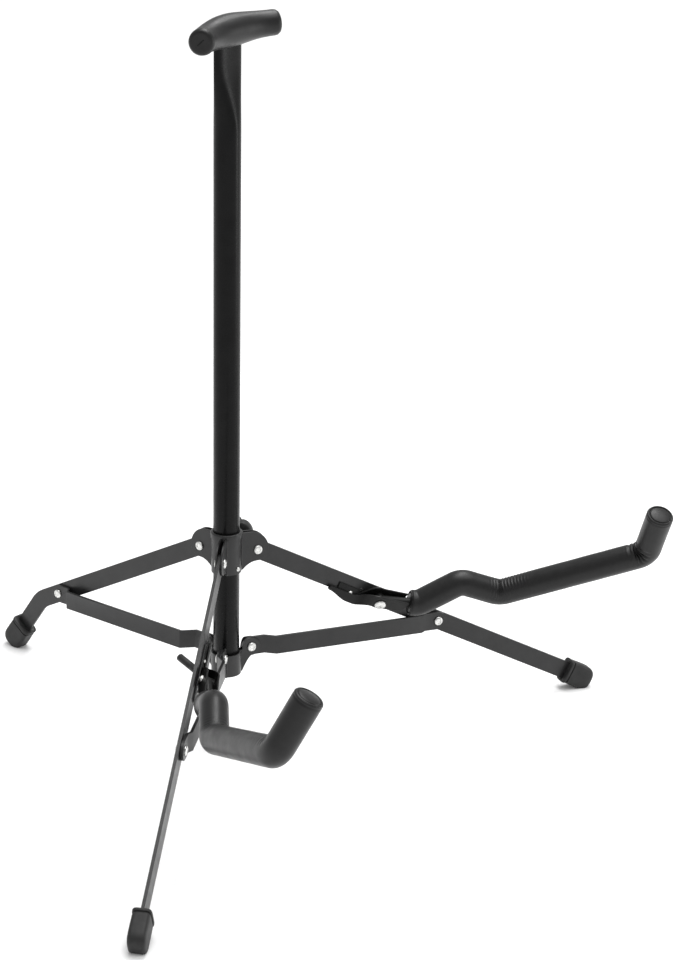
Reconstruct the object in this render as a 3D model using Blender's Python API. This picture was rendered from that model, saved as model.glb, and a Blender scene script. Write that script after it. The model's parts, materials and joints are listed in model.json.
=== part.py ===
"""Folding guitar stand: a leaning mast on three hinged legs, with two padded cradle arms.

Metres, +Z up. The stand's front, where the guitar rests, faces -Y. Everything is modelled in
the mast's own frame (Z along the tube), and one empty then leans that frame back.
Each leg has a link frame: X outward from the mast, Y round it, Z along it.
"""
from math import acos, atan2, ceil, cos, pi, radians, sin, sqrt, tan

import bmesh
import bpy
from mathutils import Matrix, Vector

LEAN = radians(2.4)
GAP = 0.0003

TUBE_RADIUS = 0.0125
TUBE_WALL = 0.0012
TUBE_BOTTOM = 0.068
TUBE_TOP = 0.6665
FLAT_EASE = 0.0635
FLAT_LENGTH = 0.018
FLAT_WIDTH = 0.0345
FLAT_THICKNESS = 0.0090
PLUG_STEM = 0.012
PLUG_HEAD = 0.0035

NECK_BAR_RADIUS = 0.005
NECK_BAR_LENGTH = 0.088
NECK_LENGTH = 0.104
NECK_END_RADIUS = 0.0118
NECK_MIDDLE_RADIUS = 0.0145
NECK_SWEEP = 0.014

SHEET = 0.0015
BEND_RADIUS = 0.0015
COLLAR_HEIGHT = 0.037
COLLAR_LEVEL = 0.1865
COLLAR_REACH = 0.0305
COLLAR_EAR_RADIUS = 0.0095
HUB_HEIGHT = 0.024
HUB_LEVEL = 0.088
HUB_REACH = 0.0246
HUB_EAR_RADIUS = 0.0088

BAR_WIDTH = 0.018
BAR_THICKNESS = 0.003
KNEE_REACH = 0.2203
REAR_BEND_REACH = 0.249
REAR_TOE_REACH = 0.286
REAR_BEND_RADIUS = 0.030
TOE_LEVEL = 0.011
STRUT_OFFSET = 0.0065
STRUT_HUB_RUN = 0.014
STRUT_KNEE_RUN = 0.014
STRUT_JOGGLE = 0.010

RIVET_RADIUS = 0.0022
RIVET_HEAD_RADIUS = 0.0044
RIVET_HEAD_HEIGHT = 0.0018
HOLE_CLEARANCE = 0.0003

FOOT_HALF_WIDTH = 0.012
FOOT_HALF_THICKNESS = 0.0080
FOOT_SLEEVE = 0.020
FOOT_LIP = 0.0008
FOOT_LIP_LENGTH = 0.004
FOOT_FOLD_GAP = 0.0006

KNOB_AZIMUTH = radians(30)
KNOB_LEVEL = 0.1925
SCREW_RADIUS = 0.003
NUT_RADIUS = 0.0065
NUT_LENGTH = 0.007
KNOB_HUB_RADIUS = 0.0065
KNOB_HUB_LENGTH = 0.015
KNOB_STANDOFF = 0.006
WING_SPAN = 0.038
WING_DEPTH = 0.014
WING_THICKNESS = 0.0055

CANT = radians(34)
ARM_PIVOT_RUN = 0.1386
ARM_PIVOT_INSET = 0.0117
ROD_RADIUS = 0.0045
ROD_BEND = 0.016
ARM_RISE = radians(21)
FOAM_START = 0.030
ARM_STRAIGHT = 0.038
FOAM_RADIUS = 0.0127
FOAM_EDGE = 0.003
ROD_SHORTFALL = 0.008
ARM_HEEL = (0.1995, -0.0317, 0.0494)
ARM_DIP = (0.2393, -0.0396, 0.0558)
ARM_ELBOW = (0.3177, -0.1083, 0.1596)
ARM_TIP = (0.2970, -0.1348, 0.1961)

EYE_RADIUS = 0.0047
CHANNEL_SIDE_GAP = 0.0005
CHANNEL_REAR = 0.052
CHANNEL_FRONT = 0.024
CHANNEL_CREST = 0.0095
CHANNEL_REAR_HEIGHT = 0.001
TAB_START = 0.096
TAB_END = 0.158
TAB_LOW = 0.0085
TAB_HIGH = 0.0002
TAB_RIVET_DROP = 0.0063
TAB_RIVET_HEAD = 0.0022
TAB_RIVET_RISE = 0.0009
TAB_RIVET_SHANK = 0.0013
TAB_RIVET_RUNS = {"upper": 0.111, "lower": 0.146}
ARM_SCREW_RADIUS = 0.002
ARM_SCREW_HEAD = 0.0055
ARM_SCREW_NUT = 0.0036
PEG_RUN = 0.122
PEG_RADIUS = 0.0034
PEG_LENGTH = 0.018
PEG_PIN_RADIUS = 0.0018
GUIDE_RIVET_DROP = 0.0175
GUIDE_RIVET_RADIUS = 0.0024

AZIMUTHS = {"rear": radians(90), "right": radians(-30), "left": radians(210)}
# +1 where the strut lies on the leg's anticlockwise face, seen from above
STRUT_SIDE = {"rear": 1, "right": -1, "left": 1}

COLOURS = {
    "satin_black": ((0.020, 0.020, 0.021), 0.38, 0.0),
    "stamped_black": ((0.026, 0.026, 0.027), 0.42, 0.0),
    "foam_black": ((0.030, 0.030, 0.032), 0.85, 0.0),
    "rubber_black": ((0.018, 0.018, 0.018), 0.70, 0.0),
    "plastic_black": ((0.022, 0.022, 0.022), 0.50, 0.0),
    "bright_nickel": ((0.78, 0.78, 0.76), 0.25, 1.0),
}


def clear_scene():
    """Start from an empty file."""
    for item in list(bpy.data.objects):
        bpy.data.objects.remove(item, do_unlink=True)


def material(name):
    """Return the shared material of this name, made on first use."""
    found = bpy.data.materials.get(name)
    if found:
        return found
    colour, roughness, metallic = COLOURS[name]
    made = bpy.data.materials.new(name)
    made.use_nodes = True
    shader = made.node_tree.nodes["Principled BSDF"]
    shader.inputs["Base Color"].default_value = (*colour, 1.0)
    shader.inputs["Roughness"].default_value = roughness
    shader.inputs["Metallic"].default_value = metallic
    made.diffuse_color = (*colour, 1.0)
    return made


def empty(name, parent=None, location=(0, 0, 0), rotation=(0, 0, 0)):
    """Add an empty that carries pieces."""
    carrier = bpy.data.objects.new(name, None)
    bpy.context.collection.objects.link(carrier)
    carrier.parent = parent
    carrier.location = location
    carrier.rotation_euler = rotation
    return carrier


def solid(name, shape, finish, parent, origin=(0, 0, 0), smooth=35):
    """Turn a closed bmesh, drawn in its parent's frame, into an object with its origin on origin."""
    bmesh.ops.recalc_face_normals(shape, faces=shape.faces)
    bmesh.ops.translate(shape, verts=shape.verts, vec=-Vector(origin))
    mesh = bpy.data.meshes.new(name)
    shape.to_mesh(mesh)
    shape.free()
    mesh.shade_smooth()
    mesh.set_sharp_from_angle(angle=radians(smooth))
    piece = bpy.data.objects.new(name, mesh)
    bpy.context.collection.objects.link(piece)
    piece.parent = parent
    piece.location = origin
    if finish:
        mesh.materials.append(material(finish))
    else:
        piece.hide_render = True
        piece.display_type = 'WIRE'
    return piece


def boolean(piece, tool, operation):
    """Cut a piece with a hidden tool, or join the tool to it."""
    step = piece.modifiers.new(operation.lower(), 'BOOLEAN')
    step.operation = operation
    step.solver = 'EXACT'
    step.object = tool


def loft(rings):
    """Skin a list of closed rings that have the same number of points, and close both ends."""
    shape = bmesh.new()
    rows = [[shape.verts.new(point) for point in ring] for ring in rings]
    count = len(rows[0])
    for low, high in zip(rows, rows[1:]):
        for index in range(count):
            after = (index + 1) % count
            shape.faces.new((low[index], low[after], high[after], high[index]))
    shape.faces.new(rows[0])
    shape.faces.new(rows[-1])
    return shape


def loft_loop(rings):
    """Skin rings whose last one meets the first, as a tube with a bore does."""
    shape = bmesh.new()
    rows = [[shape.verts.new(point) for point in ring] for ring in rings]
    count = len(rows[0])
    for low, high in zip(rows, rows[1:] + rows[:1]):
        for index in range(count):
            after = (index + 1) % count
            shape.faces.new((low[index], low[after], high[after], high[index]))
    return shape


def turned(profile, centre, axis, sides=10):
    """Revolve (radius, height) pairs about an axis; the end pairs close the shape with flat discs."""
    axis = Vector(axis).normalized()
    first = axis.orthogonal().normalized()
    second = axis.cross(first)
    rings = []
    for radius, height in profile:
        ring = []
        for index in range(sides):
            turn = 2 * pi * index / sides
            spoke = first * cos(turn) + second * sin(turn)
            ring.append(Vector(centre) + axis * height + spoke * radius)
        rings.append(ring)
    return loft(rings)


def ring_oval(half_x, half_y, level, power, sides):
    """Points of a level superellipse: power 2 is an ellipse, more is squarer."""
    ring = []
    for index in range(sides):
        turn = 2 * pi * index / sides
        across, along = cos(turn), sin(turn)
        x = half_x * abs(across) ** (2 / power) * (1 if across > 0 else -1)
        y = half_y * abs(along) ** (2 / power) * (1 if along > 0 else -1)
        ring.append(Vector((x, y, level)))
    return ring


def mast_rings(grow, bottom, top, sides=20):
    """Rings up the tube: round, then eased into a flat oval near the top."""
    steps = 7
    start = TUBE_TOP - FLAT_LENGTH - FLAT_EASE
    levels = [bottom] + [start + FLAT_EASE * step / steps for step in range(steps + 1)] + [top]
    rings = []
    for level in levels:
        share = min(1, max(0, (level - start) / FLAT_EASE))
        ease = share * share * (3 - 2 * share)
        half_x = TUBE_RADIUS + (FLAT_WIDTH / 2 - TUBE_RADIUS) * ease + grow
        half_y = TUBE_RADIUS + (FLAT_THICKNESS / 2 - TUBE_RADIUS) * ease + grow
        rings.append(ring_oval(half_x, half_y, level, 2 + 0.8 * ease, sides))
    return rings


def make_mast(frame):
    """The tube, its plug, the cross rod on its flat top and the foam over the rod."""
    outer = mast_rings(0, TUBE_BOTTOM, TUBE_TOP)
    inner = mast_rings(-TUBE_WALL, TUBE_BOTTOM, TUBE_TOP)
    solid("mast_tube", loft_loop(outer + inner[::-1]), "satin_black", frame)

    stem = TUBE_RADIUS - TUBE_WALL - GAP
    low = TUBE_BOTTOM - GAP - PLUG_HEAD
    profile = [(stem - 0.0012, TUBE_BOTTOM + PLUG_STEM), (stem, TUBE_BOTTOM + PLUG_STEM - 0.002),
               (stem, TUBE_BOTTOM - GAP), (TUBE_RADIUS, TUBE_BOTTOM - GAP),
               (TUBE_RADIUS, low + 0.001), (TUBE_RADIUS - 0.0012, low)]
    solid("mast_plug", turned(profile, (0, 0, 0), (0, 0, 1), 20), "plastic_black", frame)

    level = TUBE_TOP + GAP + NECK_BAR_RADIUS
    solid("neck_bar", sweep(neck_path(level, NECK_BAR_LENGTH, 10),
                            lambda share: NECK_BAR_RADIUS, 12), "satin_black", frame)

    def swell(share):
        """Foam radius along the rest: fullest over the mast, rounded off at both ends."""
        middle = min(1, abs(2 * share - 1) * 1.25)
        return NECK_MIDDLE_RADIUS + (NECK_END_RADIUS - NECK_MIDDLE_RADIUS) * middle

    foam = solid("neck_foam", sweep(neck_path(level, NECK_LENGTH, 12), swell, 16, edge=0.0025),
                 "foam_black", frame)
    bore = solid("neck_bore", sweep(neck_path(level, NECK_BAR_LENGTH + 2 * GAP, 10),
                                    lambda share: NECK_BAR_RADIUS + GAP, 12), None, frame)
    slot = solid("neck_slot", loft(mast_rings(GAP, TUBE_BOTTOM, level)[1:]), None, frame)
    boolean(foam, bore, 'DIFFERENCE')
    boolean(foam, slot, 'DIFFERENCE')


def neck_path(level, length, steps):
    """Points of the neck rest, whose ends sweep forward."""
    path = []
    for step in range(steps + 1):
        x = length * (step / steps - 0.5)
        path.append(Vector((x, -NECK_SWEEP * (2 * x / NECK_LENGTH) ** 2, level)))
    return path


def sweep_frames(path, start):
    """Directions along a path, with a side vector carried on without twist."""
    tangents = []
    for index in range(len(path)):
        before = path[max(0, index - 1)]
        after = path[min(len(path) - 1, index + 1)]
        tangents.append((after - before).normalized())
    side = (start - tangents[0] * start.dot(tangents[0])).normalized()
    frames = []
    for tangent in tangents:
        side = (side - tangent * side.dot(tangent)).normalized()
        frames.append((side, tangent.cross(side)))
    return tangents, frames


def sweep_rings(path, radius_at, sides, start=Vector((0, 0.2, 1))):
    """Rings of a round section along a path."""
    tangents, frames = sweep_frames(path, start)
    lengths = [0]
    for before, after in zip(path, path[1:]):
        lengths.append(lengths[-1] + (after - before).length)
    rings = []
    for point, (first, second), length in zip(path, frames, lengths):
        radius = radius_at(length / lengths[-1])
        rings.append([point + (first * cos(2 * pi * index / sides)
                               + second * sin(2 * pi * index / sides)) * radius
                      for index in range(sides)])
    return rings


def sweep(path, radius_at, sides, edge=0.0):
    """A solid round bar along a path, its end edges rounded by edge."""
    return loft(edged(sweep_rings(path, radius_at, sides), path, edge))


def edged(rings, path, edge):
    """Pull the first and last ring in by edge, after a full ring set back by the same amount."""
    if not edge:
        return rings
    for end, inward in ((0, path[1] - path[0]), (-1, path[-2] - path[-1])):
        step = inward.normalized()
        middle = path[end]
        full = rings[end]
        radius = (full[0] - middle).length
        tucked = [middle + (point - middle) * (1 - edge / radius) for point in full]
        half = [middle + step * (edge * 0.3) + (point - middle) * (1 - 0.3 * edge / radius)
                for point in full]
        body = [point + step * edge for point in full]
        if end == 0:
            rings = [tucked, half, body] + rings[1:]
        else:
            rings = rings[:-1] + [body, half, tucked]
    return rings


def sheet_columns(height, reach, ear_radius):
    """Centre line of one stamped sheet between two legs: ear, bend, wrap, bend, ear.

    Each column is (x, y, normal x, normal y, half height). The first leg lies along +X and the
    second 120 degrees round.
    """
    wrap = TUBE_RADIUS + GAP + SHEET / 2
    side = BAR_THICKNESS / 2 + GAP + SHEET / 2
    fillet = BEND_RADIUS + SHEET / 2
    root = sqrt((wrap + fillet) ** 2 - (side + fillet) ** 2)
    columns = []
    for step in range(5):
        turn = radians(8 + 82 * step / 4)
        columns.append((reach + ear_radius * cos(turn), side, 0, 1, ear_radius * sin(turn)))
    columns.append((root + 0.002, side, 0, 1,
                    ear_radius + (height / 2 - ear_radius) * 0.93))
    finish = atan2(side + fillet, root)
    for step in range(4):
        turn = -pi / 2 - (pi / 2 - finish) * step / 3
        x = root + fillet * cos(turn)
        y = side + fillet + fillet * sin(turn)
        columns.append((x, y, -cos(turn), -sin(turn), height / 2))
    arc = []
    steps = 8
    for step in range(1, steps):
        turn = finish + (2 * pi / 3 - 2 * finish) * step / steps
        arc.append((wrap * cos(turn), wrap * sin(turn), cos(turn), sin(turn), height / 2))
    other = []
    for x, y, normal_x, normal_y, reach_z in reversed(columns):
        turn = 2 * pi / 3
        other.append((x * cos(turn) + y * sin(turn), x * sin(turn) - y * cos(turn),
                      normal_x * cos(turn) + normal_y * sin(turn),
                      normal_x * sin(turn) - normal_y * cos(turn), reach_z))
    return columns + arc + other


def stamped_sheet(height, reach, ear_radius, level):
    """Skin the sheet's columns with its thickness and height."""
    rings = []
    for x, y, normal_x, normal_y, half in sheet_columns(height, reach, ear_radius):
        out = Vector((normal_x, normal_y, 0)) * (SHEET / 2)
        middle = Vector((x, y, level))
        rise = Vector((0, 0, half))
        rings.append([middle - out - rise, middle + out - rise, middle + out + rise,
                      middle - out + rise])
    return loft(rings)


def rivet_profile(low, high):
    """A shank between two domed heads; low and high are the heads' seats."""
    rise = RIVET_HEAD_HEIGHT
    wide = RIVET_HEAD_RADIUS
    return [(wide * 0.5, low - rise), (wide, low - rise * 0.3), (wide, low),
            (RIVET_RADIUS, low), (RIVET_RADIUS, high), (wide, high),
            (wide, high + rise * 0.3), (wide * 0.5, high + rise)]


def half_rivet_profile(seat, stub):
    """One domed head with a short stub, set at seat and pointing to zero."""
    rise = RIVET_HEAD_HEIGHT
    wide = RIVET_HEAD_RADIUS
    return [(RIVET_RADIUS, stub), (RIVET_RADIUS, seat), (wide, seat),
            (wide, seat + rise * 0.3), (wide * 0.5, seat + rise)]


def drill(piece, name, parent, centre, axis, radius, length):
    """Cut a round hole, centred on a point, through a piece."""
    tool = solid(name, turned([(radius, -length / 2), (radius, length / 2)], centre, axis),
                 None, parent)
    boolean(piece, tool, 'DIFFERENCE')


def make_plates(carrier, prefix, height, reach, ear_radius, level):
    """Three stamped sheets round the tube, drilled for the rivets."""
    starts = {"right": AZIMUTHS["right"], "left": AZIMUTHS["rear"], "front": AZIMUTHS["left"]}
    made = {}
    for name, azimuth in starts.items():
        frame = empty(f"{prefix}_{name}_frame", carrier, rotation=(0, 0, azimuth))
        sheet = solid(f"{prefix}_plate_{name}", stamped_sheet(height, reach, ear_radius, level),
                      "stamped_black", frame)
        hole = RIVET_RADIUS + HOLE_CLEARANCE
        drill(sheet, f"{prefix}_{name}_hole_a", frame, (reach, 0, level), (0, 1, 0), hole, 0.02)
        far = Matrix.Rotation(2 * pi / 3, 4, 'Z')
        drill(sheet, f"{prefix}_{name}_hole_b", frame, far @ Vector((reach, 0, level)),
              far @ Vector((0, 1, 0)), hole, 0.02)
        made[name] = (sheet, frame)
    return made


def leg_slope():
    """Angle of the leg below level, from its two joints."""
    return atan2(COLLAR_LEVEL - HUB_LEVEL, KNEE_REACH - COLLAR_REACH)


def leg_point(run, across, rise):
    """Link-frame point from leg coordinates: along the leg from its top joint, across its face
    (minus is the inner face) and square to both, upward."""
    slope = leg_slope()
    return Vector((COLLAR_REACH + run * cos(slope) + rise * sin(slope), across,
                   COLLAR_LEVEL - run * sin(slope) + rise * cos(slope)))


def floor_height(reach, azimuth):
    """Link-frame height of a point that stands TOE_LEVEL above the floor."""
    forward = reach * sin(azimuth)
    return (TOE_LEVEL + forward * sin(LEAN)) / cos(LEAN)


def bar_line(points, bend_radius=0.0, steps=5):
    """Stations of a bar's centre line in the X-Z plane, its middle corner rounded off."""
    if len(points) == 2:
        return list(points)
    start, corner, end = points
    inward = (start - corner).normalized()
    outward = (end - corner).normalized()
    half = acos(max(-1, min(1, inward.dot(outward)))) / 2
    setback = bend_radius / tan(half)
    first = corner + inward * setback
    last = corner + outward * setback
    middle = corner + (inward + outward).normalized() * (bend_radius / sin(half))
    arc = []
    for step in range(steps + 1):
        share = step / steps
        spoke = (first - middle).normalized().slerp((last - middle).normalized(), share)
        arc.append(middle + spoke * bend_radius)
    return [start] + arc + [end]


def flat_bar(line, half_width, half_thickness, offset_at=None, end_steps=4):
    """A flat bar with round ends. line holds (x, 0, z) centres; offset_at shifts it in Y."""
    stations = []
    count = len(line)
    for index, point in enumerate(line):
        before = line[max(0, index - 1)]
        after = line[min(count - 1, index + 1)]
        tangent = (after - before).normalized()
        stations.append((point, tangent, half_width))
    first, last = stations[0], stations[-1]
    turns = [radians(12 + 78 * step / end_steps) for step in range(end_steps)]
    head = [(first[0] - first[1] * (half_width * cos(turn)), first[1], half_width * sin(turn))
            for turn in turns]
    tail = [(last[0] + last[1] * (half_width * cos(turn)), last[1], half_width * sin(turn))
            for turn in reversed(turns)]
    rings = []
    for point, tangent, half in head + stations + tail:
        up = Vector((-tangent.z, 0, tangent.x)) * half
        shift = Vector((0, offset_at(point) if offset_at else 0, 0))
        out = Vector((0, half_thickness, 0))
        middle = point + shift
        rings.append([middle - up - out, middle + up - out, middle + up + out, middle - up + out])
    return loft(rings)


def leg_line(name):
    """Centre line of a leg from its top joint to the middle of its round toe."""
    top = Vector((COLLAR_REACH, 0, COLLAR_LEVEL))
    slope = leg_slope()
    azimuth = AZIMUTHS[name]
    if name == "rear":
        bend = Vector((REAR_BEND_REACH, 0,
                       COLLAR_LEVEL - (REAR_BEND_REACH - COLLAR_REACH) * tan(slope)))
        toe = Vector((REAR_TOE_REACH, 0, floor_height(REAR_TOE_REACH, azimuth)))
        return bar_line([top, bend, toe], REAR_BEND_RADIUS)
    lift = sin(azimuth) * tan(LEAN)
    reach = (COLLAR_LEVEL + COLLAR_REACH * tan(slope) - TOE_LEVEL / cos(LEAN))
    reach = reach / (tan(slope) + lift)
    return [top, Vector((reach, 0, COLLAR_LEVEL - (reach - COLLAR_REACH) * tan(slope)))]


def strut_offset(name):
    """Sideways course of the strut: in line at the hub, out past the leg, back beside it.

    The rear leg is bent, so its boot folds against the strut and sets how far out that lies.
    """
    side = STRUT_SIDE[name]
    beside = side * (BAR_THICKNESS + GAP)
    far = side * STRUT_OFFSET
    if name == "rear":
        far = side * (FOOT_HALF_THICKNESS + FOOT_LIP + FOOT_FOLD_GAP + BAR_THICKNESS / 2)
    marks = [(HUB_REACH + STRUT_HUB_RUN, 0),
             (HUB_REACH + STRUT_HUB_RUN + STRUT_JOGGLE, far),
             (KNEE_REACH - STRUT_KNEE_RUN - STRUT_JOGGLE / 2, far),
             (KNEE_REACH - STRUT_KNEE_RUN, beside)]

    def offset_at(point):
        """Offset at a point's reach, by straight runs between the marks."""
        if point.x <= marks[0][0]:
            return marks[0][1]
        for (start, low), (end, high) in zip(marks, marks[1:]):
            if point.x <= end:
                return low + (high - low) * (point.x - start) / (end - start)
        return marks[-1][1]

    return offset_at, [reach for reach, offset in marks]


def make_strut(name, frame):
    """A strut, level when the stand is open, hinged on the hub."""
    offset_at, reaches = strut_offset(name)
    line = [Vector((reach, 0, HUB_LEVEL)) for reach in [HUB_REACH] + reaches + [KNEE_REACH]]
    hinge = Vector((HUB_REACH, 0, HUB_LEVEL))
    strut = solid(f"strut_{name}",
                  flat_bar(line, BAR_WIDTH / 2, BAR_THICKNESS / 2, offset_at),
                  "stamped_black", frame, hinge)
    hole = RIVET_RADIUS + HOLE_CLEARANCE
    drill(strut, f"strut_{name}_hub_hole", frame, hinge, (0, 1, 0), hole, 0.02)
    knee = Vector((KNEE_REACH, 0, HUB_LEVEL))
    drill(strut, f"strut_{name}_knee_hole", frame, knee, (0, 1, 0), hole, 0.03)
    side = STRUT_SIDE[name]
    near = -side * (BAR_THICKNESS / 2 + GAP)
    far = side * (BAR_THICKNESS * 1.5 + 2 * GAP)
    rivet = turned(rivet_profile(min(near, far), max(near, far)), knee, (0, 1, 0))
    solid(f"knee_rivet_{name}", rivet, "bright_nickel", frame, hinge)


def make_leg(name, frame):
    """A leg, drilled at both joints, hinged on the strut's outer end."""
    line = leg_line(name)
    knee = Vector((KNEE_REACH, 0, HUB_LEVEL))
    leg = solid(f"leg_{name}", flat_bar(line, BAR_WIDTH / 2, BAR_THICKNESS / 2),
                "stamped_black", frame, knee)
    hole = RIVET_RADIUS + HOLE_CLEARANCE
    drill(leg, f"leg_{name}_top_hole", frame, line[0], (0, 1, 0), hole, 0.02)
    drill(leg, f"leg_{name}_knee_hole", frame, knee, (0, 1, 0), hole, 0.02)
    make_foot(name, frame, line, knee)
    return leg


def make_foot(name, frame, line, origin):
    """A rubber boot over the leg's end, cut flat where it stands on the floor."""
    toe = line[-1]
    along = (toe - line[-2]).normalized()
    up = Vector((-along.z, 0, along.x))
    across = Vector((0, 1, 0))
    dome = FOOT_HALF_WIDTH
    lip = FOOT_LIP
    marks = [(-FOOT_SLEEVE, lip), (-FOOT_SLEEVE + FOOT_LIP_LENGTH, lip),
             (-FOOT_SLEEVE + FOOT_LIP_LENGTH + lip, 0), (0, 0)]
    sections = [(run, FOOT_HALF_WIDTH + grow, FOOT_HALF_THICKNESS + grow) for run, grow in marks]
    for step in range(1, 5):
        turn = radians(72) * step / 4
        sections.append((dome * sin(turn), FOOT_HALF_WIDTH * cos(turn) ** 0.8,
                         FOOT_HALF_THICKNESS * (0.35 + 0.65 * cos(turn))))
    rings = []
    for run, half_up, half_across in sections:
        ring = ring_oval(half_up, half_across, 0, 3.2, 20)
        rings.append([toe + along * run + up * point.x + across * point.y for point in ring])
    shape = loft(rings)
    bmesh.ops.recalc_face_normals(shape, faces=shape.faces)
    azimuth = AZIMUTHS[name]
    floor_normal = Vector((-sin(azimuth) * sin(LEAN), -cos(azimuth) * sin(LEAN), cos(LEAN)))
    everything = shape.verts[:] + shape.edges[:] + shape.faces[:]
    cut = bmesh.ops.bisect_plane(shape, geom=everything, plane_co=(0, 0, 0),
                                 plane_no=floor_normal, clear_inner=True)
    rim = [item for item in cut["geom_cut"] if isinstance(item, bmesh.types.BMEdge)]
    bmesh.ops.contextual_create(shape, geom=rim)
    foot = solid(f"foot_{name}", shape, "rubber_black", frame, origin)
    pocket = solid(f"foot_{name}_pocket",
                   flat_bar(line[-2:], BAR_WIDTH / 2 + GAP, BAR_THICKNESS / 2 + GAP),
                   None, frame)
    boolean(foot, pocket, 'DIFFERENCE')


def arm_axes():
    """Leg-coordinate directions of the cradle: along the leg, the arm's screw, and square to both."""
    screw = Vector((0, cos(CANT), sin(CANT)))
    rise = Vector((0, -sin(CANT), cos(CANT)))
    return Vector((1, 0, 0)), screw, rise


def arm_pivot():
    """The arm's pivot in leg coordinates, inside the leg's inner face."""
    return Vector((ARM_PIVOT_RUN, -ARM_PIVOT_INSET, 0))


def to_link(point, side):
    """Leg coordinates to the link frame; side -1 keeps the inner face at minus Y, 1 mirrors it."""
    return leg_point(point[0], point[1] * -side, point[2])


def channel_rings(side):
    """Sections of the folded channel: floor and two flanges, with a curved upper edge."""
    along, screw, rise = arm_axes()
    pivot = arm_pivot()
    inside = ROD_RADIUS + CHANNEL_SIDE_GAP
    outside = inside + SHEET
    rest = (EYE_RADIUS + GAP) / cos(ARM_RISE)
    stations = [-CHANNEL_REAR, -CHANNEL_REAR * 0.82, -CHANNEL_REAR * 0.6, -CHANNEL_REAR * 0.38,
                -CHANNEL_REAR * 0.16, 0, CHANNEL_FRONT * 0.4, CHANNEL_FRONT * 0.75, CHANNEL_FRONT]
    rings = []
    for run in stations:
        floor = -rest + max(0, run) * tan(ARM_RISE)
        if run < 0:
            share = 1 - (run / -CHANNEL_REAR) ** 2
            crest = CHANNEL_REAR_HEIGHT + (CHANNEL_CREST - CHANNEL_REAR_HEIGHT) * share
        else:
            crest = CHANNEL_CREST + run * tan(ARM_RISE) * 0.6
        section = [(-outside, floor - SHEET), (outside, floor - SHEET), (outside, crest),
                   (inside, crest), (inside, floor), (-inside, floor), (-inside, crest),
                   (-outside, crest)]
        rings.append([to_link(pivot + along * run + screw * across + rise * height, side)
                      for across, height in section])
    return rings


def make_bracket(name, frame, origin):
    """The canted channel, the tab that holds it to the leg, its rivets and the arm's screw."""
    side = STRUT_SIDE[name]
    along, screw, rise = arm_axes()
    pivot = arm_pivot()
    bracket = solid(f"bracket_{name}", loft(channel_rings(side)), "satin_black", frame, origin)
    near = -(BAR_THICKNESS / 2 + GAP)
    corners = [(TAB_START, -TAB_LOW + 0.003), (TAB_START + 0.004, -TAB_LOW),
               (TAB_END - 0.004, -TAB_LOW), (TAB_END, -TAB_LOW + 0.003),
               (TAB_END, -TAB_HIGH), (TAB_START, -TAB_HIGH)]
    tab = [[to_link((run, depth, height), side) for run, height in corners]
           for depth in (near, near - SHEET)]
    boolean(bracket, solid(f"bracket_{name}_tab", loft(tab), None, frame), 'UNION')
    screw_axis = to_link(screw, side) - to_link(Vector((0, 0, 0)), side)
    half = ROD_RADIUS + CHANNEL_SIDE_GAP + SHEET
    centre = to_link(pivot, side)
    drill(bracket, f"bracket_{name}_hole", frame, centre, screw_axis,
          ARM_SCREW_RADIUS + HOLE_CLEARANCE, 2 * half + 0.004)

    inward = -(half + GAP)
    outward = half + GAP
    profile = [(ARM_SCREW_HEAD * 0.5, inward - 0.0024), (ARM_SCREW_HEAD * 0.88, inward - 0.0017),
               (ARM_SCREW_HEAD, inward), (ARM_SCREW_RADIUS, inward), (ARM_SCREW_RADIUS, outward),
               (ARM_SCREW_NUT, outward), (ARM_SCREW_NUT, outward + 0.0020),
               (ARM_SCREW_NUT * 0.6, outward + 0.0026)]
    solid(f"arm_screw_{name}", turned(profile, centre, screw_axis), "bright_nickel", frame, origin)

    seat_in = near - SHEET - GAP
    seat_out = BAR_THICKNESS / 2 + GAP
    for place, run in TAB_RIVET_RUNS.items():
        point = to_link((run, 0, -TAB_RIVET_DROP), side)
        across = Vector((0, -side, 0))
        rim = TAB_RIVET_HEAD * 0.6
        profile = [(rim, seat_in - TAB_RIVET_RISE), (TAB_RIVET_HEAD, seat_in),
                   (TAB_RIVET_SHANK, seat_in), (TAB_RIVET_SHANK, seat_out),
                   (TAB_RIVET_HEAD, seat_out), (rim, seat_out + TAB_RIVET_RISE)]
        solid(f"bracket_rivet_{name}_{place}", turned(profile, point, across),
              "bright_nickel", frame, origin)
        drill(bracket, f"bracket_{name}_rivet_hole_{place}", frame, point, across,
              TAB_RIVET_SHANK + HOLE_CLEARANCE, 0.012)
        drill(bpy.data.objects[f"leg_{name}"], f"leg_{name}_rivet_hole_{place}", frame, point,
              across, TAB_RIVET_SHANK + HOLE_CLEARANCE, 0.012)
    make_peg(name, frame, origin, side)


def make_peg(name, frame, origin, side):
    """A short sleeved peg on the leg's outer face, its pin through the leg."""
    point = to_link((PEG_RUN, 0, 0), side)
    across = Vector((0, -side, 0))
    base = BAR_THICKNESS / 2 + GAP
    profile = [(PEG_PIN_RADIUS, -BAR_THICKNESS / 2), (PEG_PIN_RADIUS, base), (PEG_RADIUS, base),
               (PEG_RADIUS, base + PEG_LENGTH - 0.001), (PEG_RADIUS - 0.001, base + PEG_LENGTH)]
    solid(f"peg_{name}", turned(profile, point, across, 14), "rubber_black", frame, origin)
    drill(bpy.data.objects[f"leg_{name}"], f"leg_{name}_peg_hole", frame, point, across,
          PEG_PIN_RADIUS + HOLE_CLEARANCE, 0.012)


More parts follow.
